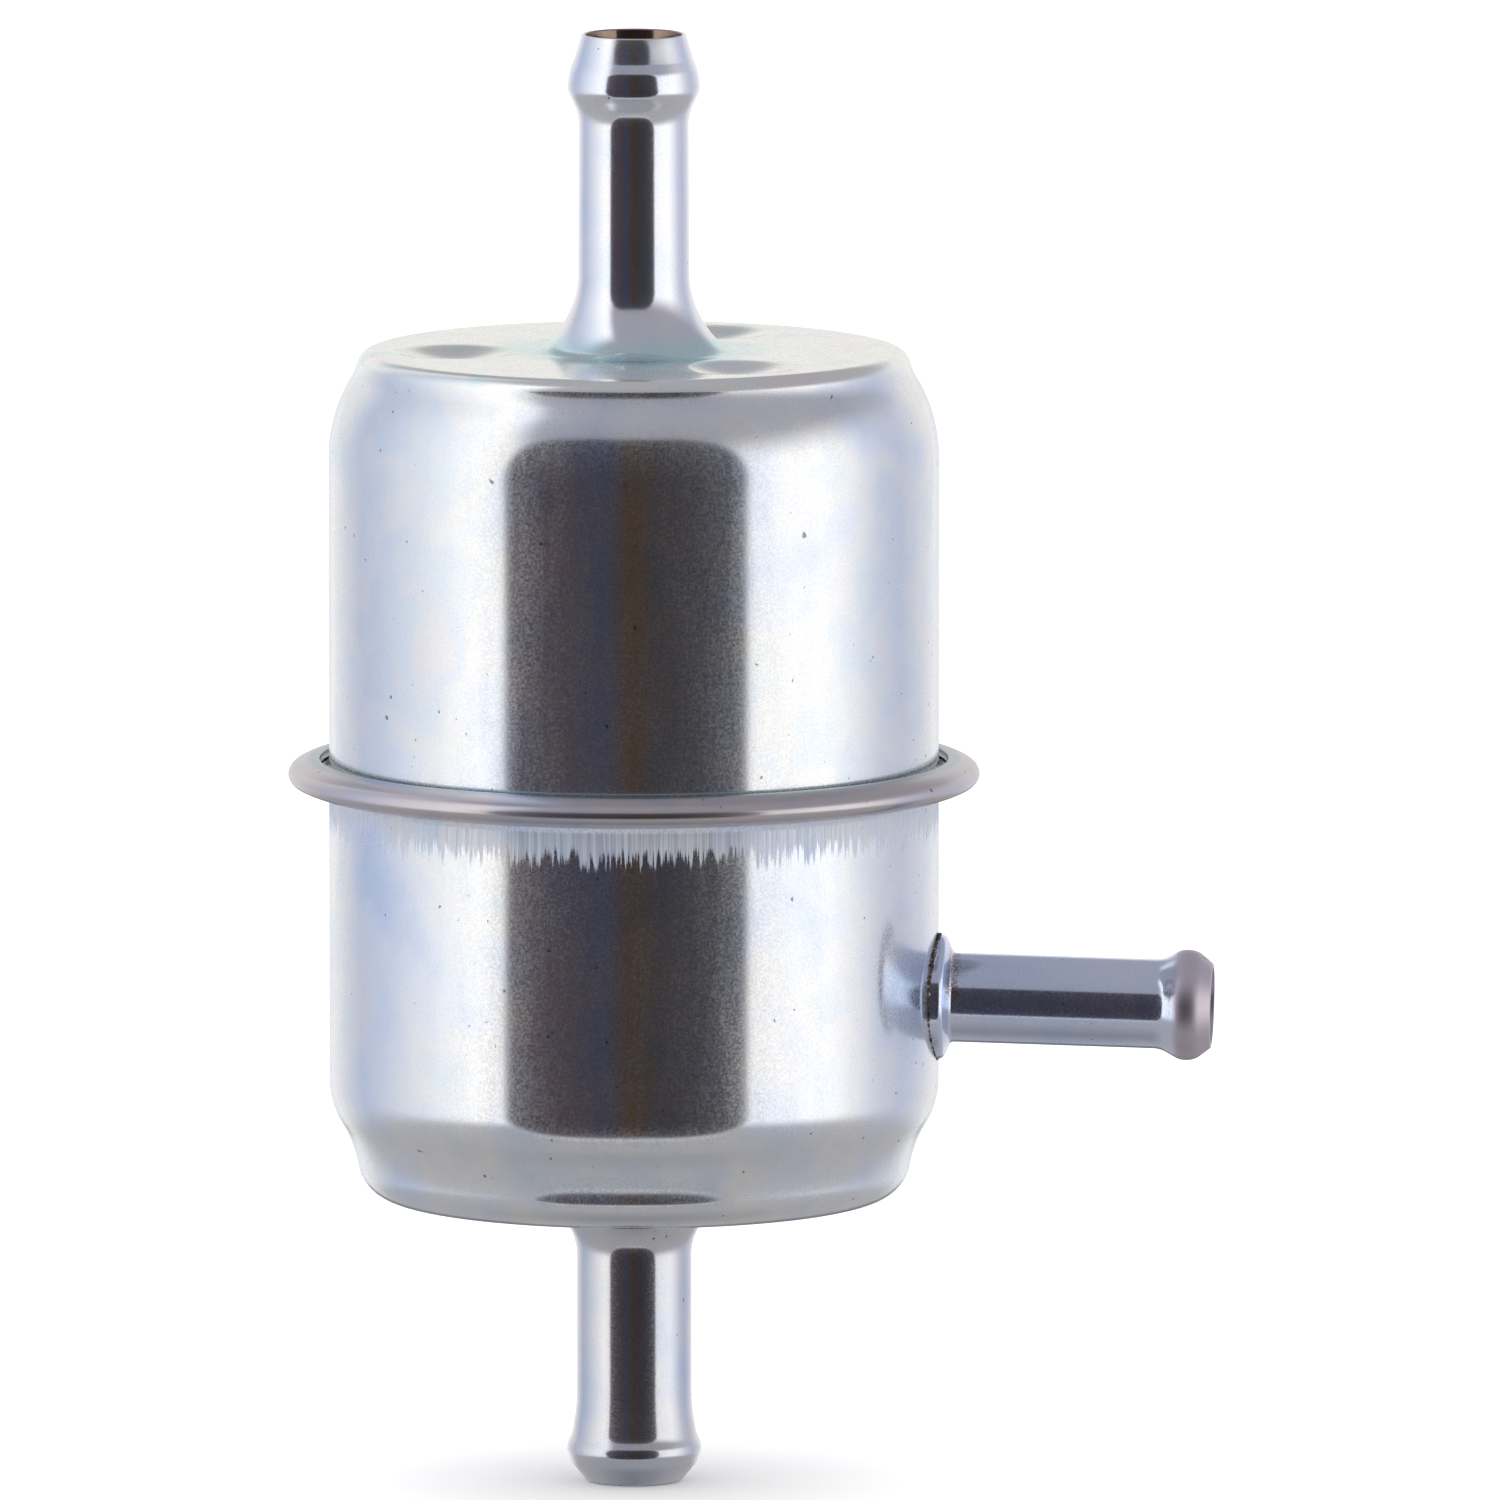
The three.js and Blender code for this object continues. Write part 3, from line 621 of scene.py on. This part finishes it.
potting_top = cap_top - cap_thickness - 0.1
closed_potting = draw_outline([
    (0.0, potting_top - potting_thickness + creep, 0),
    (creep_outer, potting_top - potting_thickness + creep, 3.0),
    (potting_radius, potting_top - potting_thickness, 0.05), (potting_radius, potting_top, 0.2),
    (0.0, potting_top, 0)], sheet_step)
bmesh.ops.delete(closed_potting, context="EDGES", geom=[
    edge for edge in closed_potting.edges if all(vert.co.x < 1e-6 for vert in edge.verts)])
turn_outline(closed_potting, inner_steps)
make_piece(closed_potting, "closed_end_plastisol", plastisol, "closed_end_potting")

potting_bottom = cap_bottom + cap_thickness + 0.1
open_potting = draw_outline([
    (outlet_opening + 0.5, potting_bottom, 0.1), (potting_radius, potting_bottom, 0.2),
    (potting_radius, potting_bottom + potting_thickness, 0.05),
    (creep_outer, potting_bottom + potting_thickness - creep, 3.0),
    (creep_inner, potting_bottom + potting_thickness - creep, 1.0),
    (outlet_opening + 0.5, potting_bottom + potting_thickness, 0.05)], sheet_step)
turn_outline(open_potting, inner_steps)
make_piece(open_potting, "open_end_plastisol", plastisol, "open_end_potting")

# ---- Pleated paper ----------------------------------------------------------------------------
# One strip of creped, resin-treated filter paper, folded to and fro into 36 pleats and closed
# into a ring. Its folds are rounded.

pleats = 36
pleat_outer = 16.4
pleat_inner = 7.8
paper_thickness = 0.35
crepe_depth = 0.06
outer_fold = 0.45
inner_fold = 0.4
paper_top = potting_top - potting_thickness - 0.1
paper_bottom = potting_bottom + potting_thickness + 0.1

paper, tree, shader, place = start_material("creped filter paper")
fibres = noise(tree, stretched(tree, place, (1, 1, 3)), 900, 5.0, 0.65)
crepe = add_node(tree, "ShaderNodeBump", {
    "Height": fibres, "Strength": 0.7, "Distance": crepe_depth * MM}).outputs["Normal"]
tree.links.new(colour_ramp(tree, fibres, [(0.3, (0.60, 0.44, 0.20)), (0.7, (0.74, 0.58, 0.31))]),
               shader.inputs["Base Color"])
tree.links.new(crepe, shader.inputs["Normal"])
shader.inputs["Roughness"].default_value = 0.85

pleated = bmesh.new()
folds = []
for fold in range(2 * pleats):
    reach = (pleat_outer if fold % 2 == 0 else pleat_inner + paper_thickness) * MM
    angle = fold * math.pi / pleats
    folds.append(pleated.verts.new((reach * math.cos(angle), reach * math.sin(angle), paper_bottom * MM)))
for start, end in zip(folds, folds[1:] + folds[:1]):
    pleated.edges.new((start, end))
for index, fold in enumerate(folds):
    round_corner(pleated, fold, (outer_fold if index % 2 == 0 else inner_fold) * MM)
raised = bmesh.ops.extrude_edge_only(pleated, edges=pleated.edges[:])["geom"]
bmesh.ops.translate(pleated, verts=[part for part in raised if isinstance(part, bmesh.types.BMVert)],
                    vec=(0, 0, (paper_top - paper_bottom) * MM))
bmesh.ops.recalc_face_normals(pleated, faces=pleated.faces)
bmesh.ops.solidify(pleated, geom=pleated.faces[:], thickness=paper_thickness * MM)
make_piece(pleated, "pleated_paper_ring", paper, "pleated_paper")

# ---- Pleat clip -------------------------------------------------------------------------------
# A narrow channel of 0.3 mm tinned steel, pinched along the fold where the two ends of the paper
# meet, on the side away from the return nipple.

clip_back = pleat_outer + 0.1
clip_metal = 0.3
clip_half_width = 1.05
clip_reach = 2.6
clip_bottom = paper_bottom + cap_rim
clip_top = paper_top - cap_rim

clip = bmesh.new()
corners = [clip.verts.new((-reach * MM, side * (clip_half_width - clip_metal / 2) * MM, clip_bottom * MM))
           for reach, side in ((clip_back - clip_reach, -1), (clip_back + clip_metal / 2, -1),
                               (clip_back + clip_metal / 2, 1), (clip_back - clip_reach, 1))]
for start, end in zip(corners, corners[1:]):
    clip.edges.new((start, end))
for corner in corners[1:3]:
    round_corner(clip, corner, clip_metal * MM)
raised = bmesh.ops.extrude_edge_only(clip, edges=clip.edges[:])["geom"]
bmesh.ops.translate(clip, verts=[part for part in raised if isinstance(part, bmesh.types.BMVert)],
                    vec=(0, 0, (clip_top - clip_bottom) * MM))
bmesh.ops.recalc_face_normals(clip, faces=clip.faces)
bmesh.ops.solidify(clip, geom=clip.faces[:], thickness=clip_metal * MM)
make_piece(clip, "pleat_clip_channel", tinned_steel, "pleat_clip")

# ---- Core tube --------------------------------------------------------------------------------
# A tube rolled from 0.4 mm tinned steel, punched with staggered rows of holes. It keeps the pleats
# from folding inwards under flow.

core_outer = 7.3
core_rows = 5
core_columns = 8
core_hole = 1.6
core_thickness = 0.4
core_facets = 8

cell_height = (paper_top - paper_bottom) / core_rows
cell_turn = math.tau / core_columns


def on_core(turn, height):
    """A point on the tube's outer face."""
    return (core_outer * MM * math.cos(turn), core_outer * MM * math.sin(turn), height * MM)


core = bmesh.new()
for row in range(core_rows):
    middle = paper_bottom + (row + 0.5) * cell_height
    for column in range(core_columns):
        facing = (column + (row % 2) / 2) * cell_turn
        steps = [(-1 + 2 * i / core_facets, -1) for i in range(core_facets)]
        steps += [(1, -1 + 2 * i / core_facets) for i in range(core_facets)]
        steps += [(-x, -y) for x, y in steps]
        frame_ring = []
        hole_ring = []
        for x, y in steps:
            around = math.atan2(y, x)
            frame_ring.append(core.verts.new(on_core(facing + x * cell_turn / 2,
                                                     middle + y * cell_height / 2)))
            hole_ring.append(core.verts.new(on_core(facing + core_hole * math.cos(around) / core_outer,
                                                    middle + core_hole * math.sin(around))))
        for i in range(len(steps)):
            core.faces.new((frame_ring[i - 1], frame_ring[i], hole_ring[i], hole_ring[i - 1]))
bmesh.ops.remove_doubles(core, verts=core.verts, dist=1e-6)
bmesh.ops.recalc_face_normals(core, faces=core.faces)
bmesh.ops.solidify(core, geom=core.faces[:], thickness=core_thickness * MM)
make_piece(core, "core_tube_punched", tinned_steel, "core_tube")

# ---- Outlet gasket ----------------------------------------------------------------------------
# A flat ring of black nitrile rubber with rounded edges, which seals the open cap to the floor of
# the lower can.

gasket_inner = 8.8
gasket_outer = 12.0
gasket_bottom = -29.3
gasket_top = -27.6
gasket_edge = 0.4

gasket = draw_outline([
    (gasket_inner, gasket_bottom, gasket_edge), (gasket_outer, gasket_bottom, gasket_edge),
    (gasket_outer, gasket_top, gasket_edge), (gasket_inner, gasket_top, gasket_edge)], 0.5)
turn_outline(gasket, 96)
make_piece(gasket, "outlet_gasket_ring", nitrile, "outlet_gasket")

# ---- Camera -----------------------------------------------------------------------------------
# A long lens that looks a little down on the seam. It stands a few degrees round the filter, on
# the side that the return nipple points to.

camera_turn = math.radians(4)
camera_rise = math.radians(7.2)
camera_distance = 2.5
camera_lens = 851
aim_right = 8.18
aim_up = 1.7
camera_right = Vector((math.cos(camera_turn), math.sin(camera_turn), 0))
camera_back = Vector((math.sin(camera_turn) * math.cos(camera_rise),
                      -math.cos(camera_turn) * math.cos(camera_rise), math.sin(camera_rise)))
camera_aim = camera_right * aim_right * MM + Vector((0, 0, aim_up * MM))

camera = bpy.data.objects.new("camera", bpy.data.cameras.new("camera"))
camera.data.lens = camera_lens
camera.data.clip_start = 0.1
camera.data.clip_end = 20
camera.location = camera_aim + camera_back * camera_distance
camera.rotation_mode = "QUATERNION"
camera.rotation_quaternion = (-camera_back).to_track_quat("-Z", "Y")
bpy.context.scene.collection.objects.link(camera)
bpy.context.scene.camera = camera

# ---- Studio light and floor -------------------------------------------------------------------
# A white studio, as the plated steel mirrors it. The dark opening is where the camera stands, with
# a soft light on each side of it, grey table below and grey ceiling above.

ceiling = (0.39, 0.39, 0.43, 1)
ceiling_fade = (12, 32)
table_fade = (-14, -27)
opening_left = 3.0
opening_half_width = 47.0
opening_corners = 3.5
opening_fade = (1.08, 0.84)
opening_ramp_start = 50.0
opening_ramp_width = 94.0
opening_edge = (0.66, 0.66, 0.70, 1)
strip_shade = (0.2, 0.2, 0.21, 1)
far_wall_shade = (0.94, 0.92, 0.90, 1)
soft_light = (1.6, 1.6, 1.6, 1)
backdrop = (1.0, 1.0, 1.0, 1)

studio = bpy.data.worlds.new("studio")
studio.use_nodes = True
bpy.context.scene.world = studio
tree = studio.node_tree
way = add_node(tree, "ShaderNodeTexCoord").outputs["Generated"]
facing = add_node(tree, "ShaderNodeMapping", {
    "Vector": way, "Rotation": (0, 0, -camera_turn)}).outputs["Vector"]
axes = add_node(tree, "ShaderNodeSeparateXYZ", {"Vector": facing}).outputs
around = maths(tree, "DEGREES", maths(tree, "ARCTAN2", axes["X"], maths(tree, "MULTIPLY", axes["Y"], -1.0)))
above = maths(tree, "DEGREES", maths(tree, "ARCSINE", axes["Z"]))


def panel(left, right, bottom, top, soft):
    """A soft-edged rectangle of directions, in degrees round and above."""
    sides = maths(tree, "MULTIPLY", soft_step(tree, around, left - soft, left + soft),
                  soft_step(tree, around, right + soft, right - soft))
    ends = maths(tree, "MULTIPLY", soft_step(tree, above, bottom - soft, bottom + soft),
                 soft_step(tree, above, top + soft, top - soft))
    return maths(tree, "MULTIPLY", sides, ends)


def round_to(degrees):
    """Where a direction lies on a ramp that goes once round."""
    return (degrees + 180) / 360


round_ramp = maths(tree, "ADD", maths(tree, "DIVIDE", around, 360.0), 0.5)
wall_shades = [
    (-180, (0.80, 0.80, 0.82)), (-160, (1.05, 1.05, 1.05)), (-143, (0.80, 0.81, 0.86)),
    (-126, (0.56, 0.60, 0.73)), (-112, (0.62, 0.68, 0.82)), (-94, (0.84, 0.87, 0.95)),
    (-78, (1.05, 1.07, 1.1)), (-62, (1.3, 1.3, 1.3)), (-40, (1.2, 1.2, 1.2)), (38, (1.2, 1.2, 1.2)),
    (78, (1.3, 1.3, 1.3)), (93, (0.98, 0.99, 1.04)), (106, (0.68, 0.71, 0.82)),
    (122, (0.58, 0.61, 0.74)), (143, (0.78, 0.80, 0.86)), (160, (1.0, 1.0, 1.0)),
    (180, (0.80, 0.80, 0.82))]
wall = colour_ramp(tree, round_ramp, [(round_to(degrees), shade) for degrees, shade in wall_shades])
table = colour_ramp(tree, maths(tree, "DIVIDE", above, -90.0), [
    (0.1, (0.50, 0.52, 0.58)), (0.35, (0.47, 0.47, 0.49)), (0.6, (0.44, 0.43, 0.44)),
    (1.0, (0.27, 0.27, 0.28))])
opening_place = maths(tree, "DIVIDE", maths(tree, "ADD", around, opening_ramp_start), opening_ramp_width)
opening = colour_ramp(tree, opening_place, [
    (0.0, (0.075, 0.055, 0.07)), (0.25, (0.06, 0.045, 0.055)), (0.42, (0.04, 0.045, 0.075)),
    (0.52, (0.062, 0.034, 0.012)), (0.62, (0.04, 0.036, 0.04)), (0.8, (0.045, 0.042, 0.05)),
    (1.0, (0.06, 0.06, 0.075))])
light = blend_colour(tree, soft_step(tree, above, *ceiling_fade), wall, ceiling)
left_light = panel(left=-150, right=-48, bottom=-20, top=60, soft=9)
light = blend_colour(tree, left_light, light, wall)
light = blend_colour(tree, soft_step(tree, above, *table_fade), light, table)


def rounded_opening(middle, half_height):
    """The opening's shape in directions: wide, with well-rounded corners."""
    across = maths(tree, "DIVIDE", maths(tree, "ADD", around, opening_left), opening_half_width)
    up = maths(tree, "DIVIDE", maths(tree, "SUBTRACT", above, middle), half_height)
    across, up = [maths(tree, "POWER", maths(tree, "ABSOLUTE", share), opening_corners)
                  for share in (across, up)]
    return soft_step(tree, maths(tree, "ADD", across, up), *opening_fade)


def band_behind(sides, bottom, top):
    """A band of directions behind the filter, from where its sides, bottom and top fade in."""
    ends = maths(tree, "MULTIPLY", soft_step(tree, above, *bottom), soft_step(tree, above, *top))
    return maths(tree, "MULTIPLY", soft_step(tree, maths(tree, "ABSOLUTE", around), *sides), ends)


light = blend_colour(tree, rounded_opening(middle=-4.0, half_height=37.2), light, opening_edge)
light = blend_colour(tree, rounded_opening(middle=-2.0, half_height=35.0), light, opening)
strip_behind = band_behind(sides=(163, 170), bottom=(-45, -38), top=(-12, -15))
light = blend_colour(tree, strip_behind, light, strip_shade)
far_wall = band_behind(sides=(130, 160), bottom=(0, 3), top=(26, 14))
light = blend_colour(tree, far_wall, light, far_wall_shade)
rays = add_node(tree, "ShaderNodeLightPath").outputs
light = blend_colour(tree, rays["Is Diffuse Ray"], light, soft_light)
light = blend_colour(tree, rays["Is Camera Ray"], light, backdrop)
tree.links.new(light, tree.nodes["Background"].inputs["Color"])

floor_half_width = 1.5
floor_paint, tree, shader, place = start_material("pale floor")
paint = colour_ramp(tree, noise(tree, place, 3, 2.0), [(0.3, (0.93, 0.93, 0.93)), (0.7, (0.96, 0.96, 0.96))])
tree.links.new(paint, shader.inputs["Base Color"])
shader.inputs["Roughness"].default_value = 0.9
shader.inputs["Specular IOR Level"].default_value = 0.0
from_below = add_node(tree, "ShaderNodeNewGeometry").outputs["Backfacing"]
see_through = add_node(tree, "ShaderNodeBsdfTransparent")
surface = add_node(tree, "ShaderNodeMixShader", {
    0: from_below, 1: shader.outputs[0], 2: see_through.outputs[0]})
tree.links.new(surface.outputs[0], tree.nodes["Material Output"].inputs["Surface"])

floor_shape = bmesh.new()
bmesh.ops.create_grid(floor_shape, x_segments=1, y_segments=1, size=floor_half_width)
bmesh.ops.translate(floor_shape, verts=floor_shape.verts, vec=(0, 0, cad_box[0].z))
floor_mesh = bpy.data.meshes.new("floor")
floor_shape.to_mesh(floor_mesh)
floor_shape.free()
floor_mesh.materials.append(floor_paint)
floor = bpy.data.objects.new("floor", floor_mesh)
floor.visible_glossy = False
bpy.context.scene.collection.objects.link(floor)

bpy.context.scene.view_settings.view_transform = "Standard"
